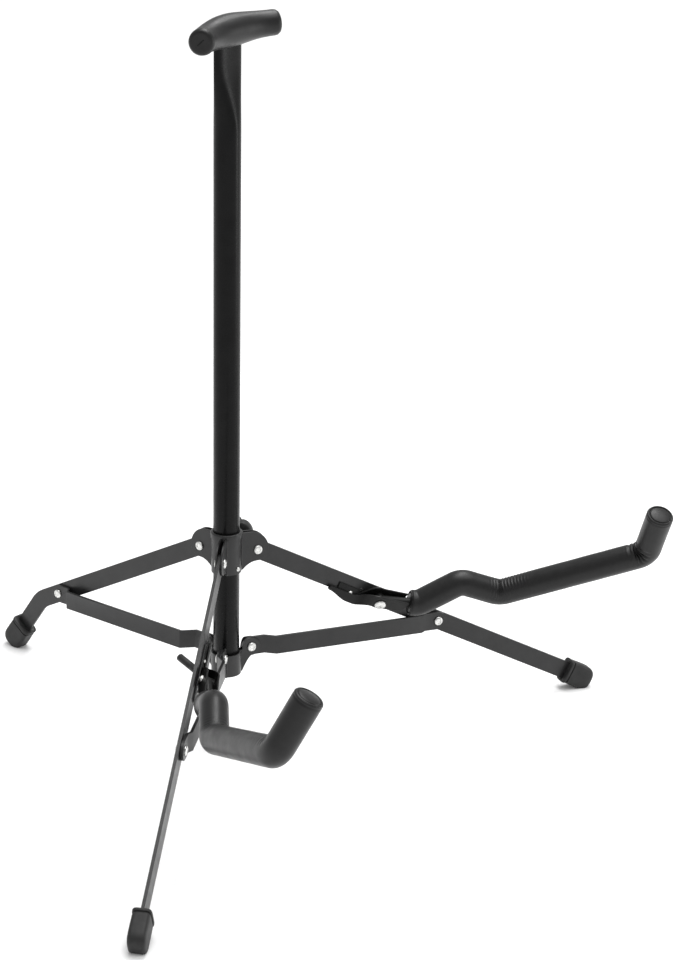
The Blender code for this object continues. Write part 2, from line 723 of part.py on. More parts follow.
def rounded_path(points, radius, spacing):
    """A path through straight runs with its corners rounded to radius."""
    path = [points[0]]
    for before, corner, after in zip(points, points[1:], points[2:]):
        inward = (before - corner).normalized()
        outward = (after - corner).normalized()
        half = acos(max(-1, min(1, inward.dot(outward)))) / 2
        setback = radius / tan(half)
        middle = corner + (inward + outward).normalized() * (radius / sin(half))
        first = (corner + inward * setback - middle).normalized()
        last = (corner + outward * setback - middle).normalized()
        steps = max(2, ceil((pi - 2 * half) / spacing))
        for step in range(steps + 1):
            path.append(middle + first.slerp(last, step / steps) * radius)
    path.append(points[-1])
    return path


def arm_path(side):
    """Centre line of the rod from its pivot to the foam's tip, in the link frame."""
    along, screw, rise = arm_axes()
    pivot = arm_pivot()
    root = pivot + (along * cos(ARM_RISE) + rise * sin(ARM_RISE)) * ARM_STRAIGHT
    stops = [pivot, root, ARM_HEEL, ARM_DIP, ARM_ELBOW, ARM_TIP]
    return rounded_path([to_link(stop, side) for stop in stops], ROD_BEND, radians(17))


def trimmed(path, start, short):
    """The path without its first stretch of length start and its last of length short."""
    first = path[0] + (path[1] - path[0]).normalized() * start
    last = path[-1] + (path[-2] - path[-1]).normalized() * short
    return [first] + path[1:-1] + [last]


def make_arm(name, frame):
    """The bent rod with its eye, and the foam sleeve over it."""
    side = STRUT_SIDE[name]
    path = arm_path(side)
    screw_axis = to_link(arm_axes()[1], side) - to_link(Vector((0, 0, 0)), side)
    centre = path[0]
    sides = 14
    rod = solid(f"arm_rod_{name}",
                sweep(trimmed(path, 0, ROD_SHORTFALL), lambda share: ROD_RADIUS, sides),
                "satin_black", frame, centre)
    eye = turned([(EYE_RADIUS, -ROD_RADIUS), (EYE_RADIUS, ROD_RADIUS)], centre, screw_axis)
    boolean(rod, solid(f"arm_eye_{name}", eye, None, frame), 'UNION')
    drill(rod, f"arm_{name}_hole", frame, centre, screw_axis,
          ARM_SCREW_RADIUS + HOLE_CLEARANCE, 0.014)

    outer_path = trimmed(path, FOAM_START, 0)
    inner_path = trimmed(path, FOAM_START, ROD_SHORTFALL - GAP)
    outer = edged(sweep_rings(outer_path, lambda share: FOAM_RADIUS, sides), outer_path, FOAM_EDGE)
    inner = sweep_rings(inner_path, lambda share: ROD_RADIUS + GAP, sides)
    solid(f"arm_foam_{name}", loft(outer[::-1] + inner), "foam_black", frame, centre)


def make_collar(carrier):
    """The sliding collar: sheets, rivet heads for the open pivots, guide rivet, nut and knob."""
    plates = make_plates(carrier, "collar", COLLAR_HEIGHT, COLLAR_REACH, COLLAR_EAR_RADIUS,
                         COLLAR_LEVEL)
    seat = BAR_THICKNESS / 2 + SHEET + 2 * GAP
    stub = BAR_THICKNESS / 2 + GAP + 0.0001
    for name, azimuth in AZIMUTHS.items():
        frame = empty(f"collar_rivet_{name}_frame", carrier, rotation=(0, 0, azimuth))
        centre = Vector((COLLAR_REACH, 0, COLLAR_LEVEL))
        for end, way in (("a", 1), ("b", -1)):
            solid(f"collar_rivet_{name}_{end}",
                  turned(half_rivet_profile(seat, stub), centre, (0, way, 0)),
                  "bright_nickel", frame)

    out = TUBE_RADIUS + GAP + SHEET + GAP
    level = COLLAR_LEVEL - GUIDE_RIVET_DROP + 0.004
    front = Vector((0, -1, 0))
    profile = [(0.0012, out - GAP - SHEET + 0.0001), (0.0012, out), (GUIDE_RIVET_RADIUS, out),
               (GUIDE_RIVET_RADIUS * 0.6, out + 0.0011)]
    solid("collar_guide_rivet", turned(profile, (0, 0, level), front), "bright_nickel",
          carrier)
    sheet, frame = plates["front"]
    drill(sheet, "collar_guide_hole", carrier, front * out + Vector((0, 0, level)), front,
          0.0012 + HOLE_CLEARANCE, 0.008)

    frame = empty("knob_frame", carrier, rotation=(0, 0, KNOB_AZIMUTH))
    centre = Vector((0, 0, KNOB_LEVEL))
    sheet = plates["right"][0]
    hole = SCREW_RADIUS + HOLE_CLEARANCE
    drill(sheet, "collar_screw_hole", frame, centre + Vector((out, 0, 0)), (1, 0, 0), hole, 0.012)
    nut = solid("collar_nut",
                turned([(NUT_RADIUS, out), (NUT_RADIUS, out + NUT_LENGTH)], centre, (1, 0, 0), 6),
                "bright_nickel", frame)
    drill(nut, "collar_nut_hole", frame, centre + Vector((out, 0, 0)), (1, 0, 0), hole, 0.03)
    make_knob(frame, centre, out + NUT_LENGTH + KNOB_STANDOFF)


def make_knob(frame, centre, start):
    """The clamp screw with its hub and two wings."""
    tip = TUBE_RADIUS + GAP
    wide = KNOB_HUB_RADIUS
    end = start + KNOB_HUB_LENGTH
    profile = [(SCREW_RADIUS - 0.0006, tip), (SCREW_RADIUS, tip + 0.0008), (SCREW_RADIUS, start),
               (wide - 0.001, start), (wide, start + 0.001), (wide, end - 0.002),
               (wide * 0.7, end)]
    knob = solid("clamp_knob", turned(profile, centre, (1, 0, 0)), "plastic_black", frame, centre)
    middle = (start + end) / 2
    rings = []
    steps = 10
    for step in range(steps + 1):
        share = 2 * step / steps - 1
        swell = 0.72 + 0.28 * sin(pi * min(1, abs(share) * 1.1)) - 0.30 * max(0, abs(share) - 0.8) * 5
        half = WING_DEPTH / 2 * swell
        ring = ring_oval(half, WING_THICKNESS / 2 * (1 - 0.4 * abs(share) ** 3), 0, 3, 12)
        rings.append([centre + Vector((middle + point.x + 0.004 * abs(share),
                                       share * WING_SPAN / 2, point.y)) for point in ring])
    boolean(knob, solid("knob_wings", loft(rings), None, frame), 'UNION')


def make_hub(carrier):
    """The fixed lower collar and the rivets that the struts turn on."""
    make_plates(carrier, "hub", HUB_HEIGHT, HUB_REACH, HUB_EAR_RADIUS, HUB_LEVEL)
    seat = BAR_THICKNESS / 2 + SHEET + 2 * GAP
    for name, azimuth in AZIMUTHS.items():
        frame = empty(f"hub_rivet_{name}_frame", carrier, rotation=(0, 0, azimuth))
        rivet = turned(rivet_profile(-seat, seat), (HUB_REACH, 0, HUB_LEVEL), (0, 1, 0))
        solid(f"hub_rivet_{name}", rivet, "bright_nickel", frame)


def centre_on_floor(stand):
    """Slide the stand along Y until the middle of its box stands over the origin."""
    bpy.context.view_layer.update()
    graph = bpy.context.evaluated_depsgraph_get()
    reaches = []
    for piece in bpy.data.objects:
        if piece.type == 'MESH' and not piece.hide_render:
            shape = piece.evaluated_get(graph).to_mesh()
            reaches += [(piece.matrix_world @ vertex.co).y for vertex in shape.vertices]
    stand.location.y = -(min(reaches) + max(reaches)) / 2
    bpy.context.view_layer.update()


def main():
    """Build the stand, open, with its arms lowered."""
    clear_scene()
    stand = empty("stand", rotation=(-LEAN, 0, 0))
    make_mast(stand)
    make_hub(stand)
    make_collar(stand)
    for name, azimuth in AZIMUTHS.items():
        frame = empty(f"link_{name}", stand, rotation=(0, 0, azimuth))
        make_strut(name, frame)
        make_leg(name, frame)
        if name != "rear":
            make_bracket(name, frame, Vector((KNEE_REACH, 0, HUB_LEVEL)))
            make_arm(name, frame)
    centre_on_floor(stand)


main()
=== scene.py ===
"""Looks of the folding guitar stand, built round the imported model. Metres, +Z up."""
import json
from math import acos, atan2, ceil, cos, pi, radians, sin, sqrt, tan

import bmesh
import bpy
from mathutils import Matrix, Vector, noise


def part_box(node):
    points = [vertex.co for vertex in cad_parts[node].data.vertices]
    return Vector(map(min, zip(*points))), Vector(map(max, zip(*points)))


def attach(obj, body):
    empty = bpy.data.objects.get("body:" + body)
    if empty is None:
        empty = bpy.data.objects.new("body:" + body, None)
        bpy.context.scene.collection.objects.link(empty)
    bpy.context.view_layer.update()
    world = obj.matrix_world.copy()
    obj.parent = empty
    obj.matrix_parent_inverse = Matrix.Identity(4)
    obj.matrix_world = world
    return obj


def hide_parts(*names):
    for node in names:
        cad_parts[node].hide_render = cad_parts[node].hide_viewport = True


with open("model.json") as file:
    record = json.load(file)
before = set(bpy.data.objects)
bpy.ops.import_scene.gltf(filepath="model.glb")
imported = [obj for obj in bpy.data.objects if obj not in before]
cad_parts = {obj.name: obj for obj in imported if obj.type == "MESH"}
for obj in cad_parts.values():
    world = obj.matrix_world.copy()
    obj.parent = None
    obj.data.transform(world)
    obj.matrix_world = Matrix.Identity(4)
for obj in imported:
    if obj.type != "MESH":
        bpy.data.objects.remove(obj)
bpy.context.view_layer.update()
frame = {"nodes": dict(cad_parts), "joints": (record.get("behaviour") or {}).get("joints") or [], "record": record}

JOINTS = {joint["name"]: joint for joint in frame["joints"]}
NODE_SLOTS = {row["node"]: row["material_slot"] for row in frame["record"]["subparts"]}
NODE_BODY = {node: body for body, nodes in frame["record"]["behaviour"]["bodies"].items()
             for node in nodes}

# Camera fitted to the photograph, in its 677 by 960 frame
PHOTO_WIDTH = 677
PHOTO_HEIGHT = 960
SENSOR = 36.0
FOCAL_PIXELS = 2158.45
CENTRE_PIXEL = (238.99, 389.07)
CAMERA_AZIMUTH = -0.882098
CAMERA_ELEVATION = 0.317286
CAMERA_ROLL = 0.037711
CAMERA_DISTANCE = 1.97695
AIM_HEIGHT = 0.350

# Sizes of the solids, which the finished pieces follow
GAP = 0.0003
TUBE_RADIUS = 0.0125
TUBE_WALL = 0.0012
TUBE_BOTTOM = 0.068
TUBE_TOP = 0.6665
FLAT_START = 0.585
FLAT_EASE = 0.0635
FLAT_WIDTH = 0.0345
FLAT_THICKNESS = 0.0090
NECK_BAR_RADIUS = 0.005
NECK_LENGTH = 0.104
NECK_END_RADIUS = 0.0118
NECK_SWEEP = 0.014
SHEET = 0.0015
BEND_RADIUS = 0.0015
BAR_THICKNESS = 0.003
COLLAR_LEVEL = 0.1865
COLLAR_REACH = 0.0305
COLLAR_HALF = 0.0185
HUB_LEVEL = 0.088
HUB_REACH = 0.0246
HUB_EAR = 0.0088
KNEE_REACH = 0.2203
REAR_BEND_REACH = 0.249
REAR_TOE_REACH = 0.286
TOE_LEVEL = 0.011
KNOB_LEVEL = 0.1925
ROD_RADIUS = 0.0045
ROD_BEND = 0.016
FOAM_RADIUS = 0.0127
FOAM_START = 0.030
RIVET_RADIUS = 0.0022
RIVET_HEAD_RADIUS = 0.0044
RIVET_HEAD_HEIGHT = 0.0018
CANT = radians(34)
ARM_RISE = radians(21)
ARM_PIVOT_RUN = 0.1386
ARM_PIVOT_INSET = 0.0117
ARM_SCREW_RADIUS = 0.002
ARM_HEAD_RADIUS = 0.0055
ARM_NUT_RADIUS = 0.0036
CHANNEL_SIDE_GAP = 0.0005
CHANNEL_HALF = 0.0050
CHANNEL_FLOOR = -0.00536
CHANNEL_CREST = 0.0095
CHANNEL_REAR = 0.052
CHANNEL_FRONT = 0.024

# Worked out from those sizes and from the joints
EAR_SEAT = BAR_THICKNESS / 2 + SHEET + 2 * GAP
KNEE_SEAT = (2 * BAR_THICKNESS + 3 * GAP) / 2
LEG_SLOPE = atan2(COLLAR_LEVEL - HUB_LEVEL, KNEE_REACH - COLLAR_REACH)
LEAN_AXIS = Vector(JOINTS["collar_slide"]["axis"]).normalized()
MAST_BACK = Vector((0, LEAN_AXIS.z, -LEAN_AXIS.y))
# Where the mast's axis meets mast level zero
MAST_FOOT = (Vector(JOINTS["strut_rear_hinge"]["pos_m"]) - MAST_BACK * HUB_REACH
             - LEAN_AXIS * HUB_LEVEL)
SIDES = {"right": 1, "left": -1}
AZIMUTHS = {"rear": radians(90), "right": radians(-30), "left": radians(210)}
# The side of a swept ring on which its first point lies
SWEEP_START = Vector((0, 0.2, 1))
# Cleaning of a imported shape: distance of points to weld, angle of a seam to dissolve
WELD = 0.00001
FLAT_ANGLE = radians(0.6)

# Shapes that only the finished pieces have, from the photograph or guessed
FLAT_SQUARENESS = 0.8
TUBE_EDGE = 0.0003
TUBE_EDGE_LENGTH = 0.0004
TUBE_MIDDLE = 0.368
NECK_MIDDLE_RADIUS = 0.0150
NECK_LIFT = 0.003
NECK_TILT = 0.0042
NECK_BAR_HALF = 0.0425
NECK_SPREAD = 1.15
NECK_EDGE_ROLL = 0.0016
NECK_EDGE_LENGTH = 0.003
# Uneven foam: depth, noise scale, offset round the section
NECK_WOBBLE = (0.0003, 45, 0.02)
# Steps from a cut foam end's rim to its middle: inset, depth (below zero it stands out)
NECK_CAP = [(0.0010, -0.0005), (0.0025, -0.0006), (0.0060, -0.0004), (0.0085, -0.0003)]
ARM_CAP = [(0.0006, 0.0), (0.0010, 0.0003), (0.0013, 0.0011), (0.0019, 0.0011),
           (0.0022, 0.0002), (0.0028, -0.0002), (0.0095, -0.0006)]
# The dark leaf in each cut end of the neck's foam, which paints the shade inside its slit
SLIT_HALF_LENGTH = 0.0042
SLIT_HALF_WIDTH = 0.00045
SLIT_SLANT = 1.1
SLIT_FACE = 0.0005
SLIT_DEPTH = 0.0006
SLIT_PROUD = 0.00015
FOAM_STEP = 0.0008
# Uneven foam: depth, noise scale
FOAM_WOBBLE = (0.00012, 60)
FOAM_PUFF = 0.0003
# The cap's seam near the arm's tip, and the rolled edges at both ends of the foam
SEAM_SETBACK = 0.0026
SEAM_DEPTH = 0.0008
SEAM_HALF = 0.0010
START_ROLL = 0.0012
START_ROLL_LENGTH = 0.0022
END_ROLL = 0.0011
END_ROLL_LENGTH = 0.0020
# Creases at a bend: place along the arm, reach, depth, radians per metre, sharpness
DIP_CREASES = (0.010, 0.026, 0.0027, 980, 0.6)
ELBOW_CREASES = (-0.002, 0.016, 0.0054, 620, 1.0)
# How far the creases wander, in radians, and the noise's scale
CREASE_WANDER = (1.25, 2.2)
CREASE_SPREAD = 0.7
# Share of the creases' depth that each arm shows
WORN = {"right": 1.0, "left": 0.3}
# The arm's corners, from its pivot to the foam's tip
ARM_CORNERS = [(0.1271, -0.07641, 0.12619), (0.15550, -0.10181, 0.12083),
               (0.18352, -0.13133, 0.14421), (0.21278, -0.15745, 0.13159),
               (0.28009, -0.27545, 0.18788), (0.26554, -0.29405, 0.23649)]
# Share of a rivet head's height at its rim, length of the stub in the collar's ear
RIVET_HEAD_EDGE = 0.18
RIVET_STUB = 0.0016
# The dimple in a rivet's head: share of its radius, share of its height
DIMPLE = [(0.126, 0.62), (0.42, 0.66), (0.504, 1.0)]
# The arm screw's end past its nut: radius, height above the nut's seat
ARM_SCREW_END = [(0.0012, 0.0028), (0.0020, 0.0027), (0.0020, 0.0020)]
ARM_NUT_BORE = 0.0016
ARM_NUT_HEIGHT = 0.0020
ARM_HEAD_FLAT = 0.35
ARM_HEAD_EDGE = 0.0004
ARM_HEAD_RISE = 0.0019
# The recess in the arm screw's head: share of its radius, height above its seat
ARM_HEAD_RECESS = [(0.33, 0.0023), (0.30, 0.0015), (0.05, 0.0014)]
COLLAR_EAR = 0.0110
COLLAR_RING_LIFT = 0.0030
# Outline of the collar's rolled top: thickness added outward, drop from the top
COLLAR_RING = [(0.0, 0.0060), (0.0002, 0.0014), (-0.0002, 0.0003), (-0.0007, 0.0)]
COLLAR_RING_SWELL = 0.0008
COLLAR_RING_SIDES = 64
HUB_BAND_TOP = -0.0020
HUB_BAND_LOW = -0.0236
# Along the toe, half width, half thickness and squareness of each section of a boot
BOOT_SECTIONS = [(-0.0188, 0.0096, 0.0030, 4.0), (-0.0196, 0.0104, 0.0050, 4.0),
                 (-0.0198, 0.0116, 0.0074, 4.4), (-0.0195, 0.0122, 0.0082, 4.8),
                 (-0.0188, 0.0125, 0.0085, 5.0), (-0.0176, 0.0125, 0.0085, 5.0),
                 (-0.0170, 0.0122, 0.0082, 5.0), (-0.0167, 0.0112, 0.0072, 5.0),
                 (-0.0154, 0.0112, 0.0072, 5.0), (-0.0151, 0.0120, 0.0079, 5.4),
                 (-0.0060, 0.0122, 0.0080, 5.6), (0.0020, 0.0122, 0.0080, 5.6),
                 (0.0050, 0.0119, 0.0080, 5.2), (0.0072, 0.0111, 0.0079, 4.8),
                 (0.0090, 0.0099, 0.0077, 4.4), (0.0104, 0.0082, 0.0073, 4.0),
                 (0.0112, 0.0062, 0.0066, 3.6), (0.0116, 0.0036, 0.0050, 3.2)]
SOLE_LEVEL = 0.00002
# Where the bracket's tail opens: start from the pivot and length, along the leg
TAIL_OPENS = (-0.022, 0.016)
TAIL_BELLY = (-0.052, 0.022)
TAIL_CREST = (-0.026, 0.024)
TAIL_HALF = 0.0006
TAIL_INSET = 0.0042
TAIL_DROP = 0.0085
TAIL_FLOOR = -0.0005
TAIL_TOP = 0.0022
# Share of the arm's rise that the channel's upper edge follows
CREST_FOLLOW = 0.6
# The bracket's tab against the leg, along it and downward
TAB_CORNERS = [(0.096, -0.0055), (0.100, -0.0085), (0.154, -0.0085), (0.158, -0.0055),
               (0.158, -0.0002), (0.096, -0.0002)]
PEG_RADIUS = 0.0034
# The peg's foot along the leg and upward; its tip along, outward and upward
PEG_FOOT = (0.1260, -0.0020)
PEG_TIP = (0.1100, 0.0198, -0.0030)
# The peg's stem: radius, height
PEG_STEM = [(0.0018, 0.0), (0.0018, 0.0024), (PEG_RADIUS, 0.0026)]
# Groove round the sleeve: depth, share of the length
PEG_GROOVE = [(0.0, 0.30), (0.0002, 0.31), (0.0002, 0.33), (0.0, 0.34)]
# Rounding of the peg's tip: inset, distance back from the tip
PEG_ROUND = [(0.0, 0.0012), (0.0005, 0.0004), (0.0013, 0.0), (0.0019, 0.0006)]
# The foot of the knob's head, from the mast's axis
KNOB_START = 0.0276
KNOB_SIDES = 96
# The knob's stem: radius, distance from the mast's axis
KNOB_STEM = [(0.0024, 0.0130), (0.0030, 0.0138), (0.0030, KNOB_START - 0.0004)]
# The knob's head: share of the lobed outline, height above its foot
KNOB_HEAD = [(0.90, 0.0), (0.97, 0.0008), (1.0, 0.0025), (1.0, 0.0095), (0.96, 0.0118),
             (0.84, 0.0132), (0.60, 0.0140), (0.20, 0.0142)]
KNOB_RADIUS = 0.0176
KNOB_LOBE = 0.0044
KNOB_PHASE = 0.55

# Floor, sky, sun and the depth of every bump
FLOOR_HALF = 14.0
FLOOR_DROP = 0.0002
SKY_STRENGTH = 0.62
SUN_STRENGTH = 1.75
SUN_SPREAD = radians(60)
SUN_FROM = Vector((0.12, -0.12, 0.95))
BUMP_DISTANCE = 0.0002


def node_tree(name):
    """A new material, its node tree and its shader."""
    made = bpy.data.materials.new(name)
    made.use_nodes = True
    tree = made.node_tree
    return made, tree, tree.nodes["Principled BSDF"]


def add_bump(tree, shader, scales, strength):
    """Bump from layered noise; scales holds (noise scale, weight) pairs."""
    coords = tree.nodes.new("ShaderNodeTexCoord")
    total = None
    for scale, weight in scales:
        texture = tree.nodes.new("ShaderNodeTexNoise")
        texture.inputs["Scale"].default_value = scale
        texture.inputs["Detail"].default_value = 3.0
        tree.links.new(coords.outputs["Object"], texture.inputs["Vector"])
        part = tree.nodes.new("ShaderNodeMath")
        part.operation = 'MULTIPLY'
        part.inputs[1].default_value = weight
        tree.links.new(texture.outputs["Fac"], part.inputs[0])
        if total is None:
            total = part
        else:
            both = tree.nodes.new("ShaderNodeMath")
            both.operation = 'ADD'
            tree.links.new(total.outputs[0], both.inputs[0])
            tree.links.new(part.outputs[0], both.inputs[1])
            total = both
    bump = tree.nodes.new("ShaderNodeBump")
    bump.inputs["Strength"].default_value = strength
    bump.inputs["Distance"].default_value = BUMP_DISTANCE
    tree.links.new(total.outputs[0], bump.inputs["Height"])
    tree.links.new(bump.outputs["Normal"], shader.inputs["Normal"])


def add_ramp(tree, socket, low, high, scale, colour=False):
    """Drive a socket between two values or colours with soft noise."""
    coords = tree.nodes.new("ShaderNodeTexCoord")
    texture = tree.nodes.new("ShaderNodeTexNoise")
    texture.inputs["Scale"].default_value = scale
    texture.inputs["Detail"].default_value = 4.0
    tree.links.new(coords.outputs["Object"], texture.inputs["Vector"])
    if colour:
        ramp = tree.nodes.new("ShaderNodeValToRGB")
        ramp.color_ramp.elements[0].position = 0.35
        ramp.color_ramp.elements[1].position = 0.65
        ramp.color_ramp.elements[0].color = (*low, 1)
        ramp.color_ramp.elements[1].color = (*high, 1)
        tree.links.new(texture.outputs["Fac"], ramp.inputs["Fac"])
        tree.links.new(ramp.outputs["Color"], socket)
        return
    ranged = tree.nodes.new("ShaderNodeMapRange")
    ranged.inputs["From Min"].default_value = 0.3
    ranged.inputs["From Max"].default_value = 0.7
    ranged.inputs["To Min"].default_value = low
    ranged.inputs["To Max"].default_value = high
    tree.links.new(texture.outputs["Fac"], ranged.inputs["Value"])
    tree.links.new(ranged.outputs["Result"], socket)


def paint(name, dark, light, rough, bumps, strength, specular):
    """A dark coated metal: slight change of tone and gloss, fine orange peel."""
    made, tree, shader = node_tree(name)
    add_ramp(tree, shader.inputs["Base Color"], dark, light, scale=60, colour=True)
    add_ramp(tree, shader.inputs["Roughness"], *rough, scale=140)
    shader.inputs["Specular IOR Level"].default_value = specular
    add_bump(tree, shader, bumps, strength)
    return made


def foam_material(name, dark, light, sheen, rough, specular):
    """Foam or rubber: half matte, finely pitted, with a faint dusty sheen."""
    made, tree, shader = node_tree(name)
    add_ramp(tree, shader.inputs["Base Color"], dark, light, scale=220, colour=True)
    add_ramp(tree, shader.inputs["Roughness"], *rough, scale=90)
    shader.inputs["Specular IOR Level"].default_value = specular
    shader.inputs["Sheen Weight"].default_value = sheen
    shader.inputs["Sheen Roughness"].default_value = 0.5
    add_bump(tree, shader, [(2600, 0.6), (900, 0.4)], strength=0.22)
    return made


def nickel_material():
    """Bright plated steel with fine scratches and a little tarnish."""
    made, tree, shader = node_tree("bright_nickel")
    add_ramp(tree, shader.inputs["Base Color"], (0.55, 0.55, 0.54), (0.86, 0.86, 0.84),
             scale=900, colour=True)
    add_ramp(tree, shader.inputs["Roughness"], 0.22, 0.42, scale=1200)
    shader.inputs["Metallic"].default_value = 1.0
    add_bump(tree, shader, [(1500, 1.0)], strength=0.35)
    return made


MATERIALS = {
    "mast_paint": paint("mast_paint", (0.0035, 0.0035, 0.0036), (0.0055, 0.0055, 0.0056),
                        rough=(0.24, 0.32), bumps=[(1400, 0.6), (260, 0.4)],
                        strength=0.10, specular=0.12),
    "satin_black": paint("satin_black", (0.006, 0.006, 0.006), (0.010, 0.010, 0.010),
                         rough=(0.30, 0.42), bumps=[(1600, 0.6), (320, 0.4)],
                         strength=0.15, specular=0.20),
    "stamped_black": paint("stamped_black", (0.013, 0.013, 0.0133), (0.018, 0.018, 0.0183),
                           rough=(0.30, 0.40), bumps=[(2200, 0.6), (500, 0.4)],
                           strength=0.18, specular=0.42),
    "foam_black": foam_material("foam_black", (0.0050, 0.0050, 0.0051),
                                (0.0068, 0.0068, 0.0070), sheen=0.01,
                                rough=(0.34, 0.44), specular=0.32),
    "rubber_black": foam_material("rubber_black", (0.011, 0.011, 0.011), (0.015, 0.015, 0.015),
                                  sheen=0.02, rough=(0.46, 0.60), specular=0.34),
    "plastic_black": paint("plastic_black", (0.018, 0.018, 0.018), (0.026, 0.026, 0.026),
                           rough=(0.42, 0.55), bumps=[(900, 1.0)], strength=0.25,
                           specular=0.25),
    "bright_nickel": nickel_material(),
}


def add_piece(name, shape, body, slot, nodes=(), finish=None, smooth=40, bevel=0.0):
    """Turn a bmesh, drawn in the row frame, into a finished piece on a body."""
    bmesh.ops.recalc_face_normals(shape, faces=shape.faces)
    mesh = bpy.data.meshes.new(name)
    shape.to_mesh(mesh)
    shape.free()
    mesh.shade_smooth()
    if smooth < 180:
        mesh.set_sharp_from_angle(angle=radians(smooth))
    piece = bpy.data.objects.new(name, mesh)
    bpy.context.scene.collection.objects.link(piece)
    mesh.materials.append(MATERIALS[finish or slot])
    if bevel:
        rounding = piece.modifiers.new("edge_rounding", 'BEVEL')
        rounding.width = bevel
        rounding.segments = 2
        rounding.limit_method = 'ANGLE'
        rounding.angle_limit = radians(38)
        rounding.harden_normals = True
    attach(piece, body)
    if nodes:
        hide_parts(*nodes)
    return piece


def loft(rings, loop=False, shape=None):
    """Skin closed rings that have the same number of points, as a new shape or more of one."""
    shape = shape or bmesh.new()
    rows = [[shape.verts.new(point) for point in ring] for ring in rings]
    count = len(rows[0])
    pairs = zip(rows, rows[1:] + rows[:1]) if loop else zip(rows, rows[1:])
    for low, high in pairs:
        for index in range(count):
            after = (index + 1) % count
            shape.faces.new((low[index], low[after], high[after], high[index]))
    if not loop:
        shape.faces.new(rows[0])
        shape.faces.new(rows[-1])
    return shape


def turned(profile, centre, axis, sides=40):
    """Revolve (radius, height) pairs about an axis through centre."""
    axis = Vector(axis).normalized()
    first = axis.orthogonal().normalized()
    second = axis.cross(first)
    rings = []
    for radius, height in profile:
        rings.append([Vector(centre) + axis * height
                      + (first * cos(2 * pi * index / sides)
                         + second * sin(2 * pi * index / sides)) * radius
                      for index in range(sides)])
    return loft(rings)


def mast_point(x, y, level):
    """Row-frame point from the mast's own frame, whose Z runs up the leaning tube."""
    return MAST_FOOT + Vector((x, 0, 0)) + MAST_BACK * y + LEAN_AXIS * level


def link_point(azimuth, x, y, z):
    """Row-frame point from the frame of a leg that stands at this azimuth round the mast."""
    return mast_point(x * cos(azimuth) - y * sin(azimuth), x * sin(azimuth) + y * cos(azimuth), z)


def leg_point(name, run, across, rise):
    """Row-frame point from leg coordinates: along from the top joint, toward the leg's outer
    face, and upward."""
    return link_point(AZIMUTHS[name],
                      COLLAR_REACH + run * cos(LEG_SLOPE) + rise * sin(LEG_SLOPE),
                      across * SIDES[name],
                      COLLAR_LEVEL - run * sin(LEG_SLOPE) + rise * cos(LEG_SLOPE))


def eased(share):
    """Smooth step from 0 to 1."""
    share = min(1, max(0, share))
    return share * share * (3 - 2 * share)


def eased_over(run, span):
    """Smooth step over a span, which is given as (start, length)."""
    start, length = span
    return eased((run - start) / length)


def centre_of(node):
    """Middle of a node's box."""
    low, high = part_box(node)
    return (low + high) / 2


def dressed(node, bevel=0.0004, smooth=38):
    """A node's own shape, welded, cleaned of flat seams and with rounded edges."""
    shape = bmesh.new()
    shape.from_mesh(frame["nodes"][node].data)
    bmesh.ops.remove_doubles(shape, verts=shape.verts, dist=WELD)
    bmesh.ops.dissolve_limit(shape, angle_limit=FLAT_ANGLE, verts=shape.verts,
                             edges=shape.edges)
    add_piece(f"{node}_finished", shape, NODE_BODY[node], NODE_SLOTS[node], (node,),
              smooth=smooth, bevel=bevel)


def oval(half_x, half_y, power, sides):
    """Points of a superellipse as (x, y) pairs."""
    ring = []
    for index in range(sides):
        turn = 2 * pi * index / sides
        across, along = cos(turn), sin(turn)
        ring.append((half_x * abs(across) ** (2 / power) * (1 if across > 0 else -1),
                     half_y * abs(along) ** (2 / power) * (1 if along > 0 else -1)))
    return ring


def make_mast():
    """The tube, round below and pressed flat above, hollow with a rolled lower edge."""
    steps = 28
    levels = [TUBE_BOTTOM, TUBE_BOTTOM + TUBE_EDGE_LENGTH, TUBE_MIDDLE]
    levels += [FLAT_START + FLAT_EASE * step / steps for step in range(steps + 1)] + [TUBE_TOP]
    outer, inner = [], []
    for index, level in enumerate(levels):
        ease = eased((level - FLAT_START) / FLAT_EASE)
        trim = TUBE_EDGE if index == 0 else 0
        half_x = TUBE_RADIUS + (FLAT_WIDTH / 2 - TUBE_RADIUS) * ease
        half_y = TUBE_RADIUS + (FLAT_THICKNESS / 2 - TUBE_RADIUS) * ease
        power = 2 + FLAT_SQUARENESS * ease
        outer.append([mast_point(x, y, level)
                      for x, y in oval(half_x - trim, half_y - trim, power, sides=72)])
        inner.append([mast_point(x, y, level)
                      for x, y in oval(half_x - TUBE_WALL, half_y - TUBE_WALL, power,
                                       sides=72)])
    add_piece("mast_tube_finished", loft(outer + inner[::-1], loop=True), "mast",
              "satin_black", ("mast_tube",), finish="mast_paint", smooth=50)


def sweep_rings(path, radius_at, sides):
    """Round rings along a path; radius_at takes (distance travelled, spoke, point)."""
    tangents = []
    for index in range(len(path)):
        before = path[max(0, index - 1)]
        after = path[min(len(path) - 1, index + 1)]
        tangents.append((after - before).normalized())
    side = (SWEEP_START - tangents[0] * SWEEP_START.dot(tangents[0])).normalized()
    travelled = 0
    rings = []
    for index, (point, tangent) in enumerate(zip(path, tangents)):
        side = (side - tangent * side.dot(tangent)).normalized()
        other = tangent.cross(side)
        if index:
            travelled += (point - path[index - 1]).length
        ring = []
        for step in range(sides):
            turn = 2 * pi * step / sides
            spoke = side * cos(turn) + other * sin(turn)
            ring.append(point + spoke * radius_at(travelled, spoke, point))
        rings.append(ring)
    return rings


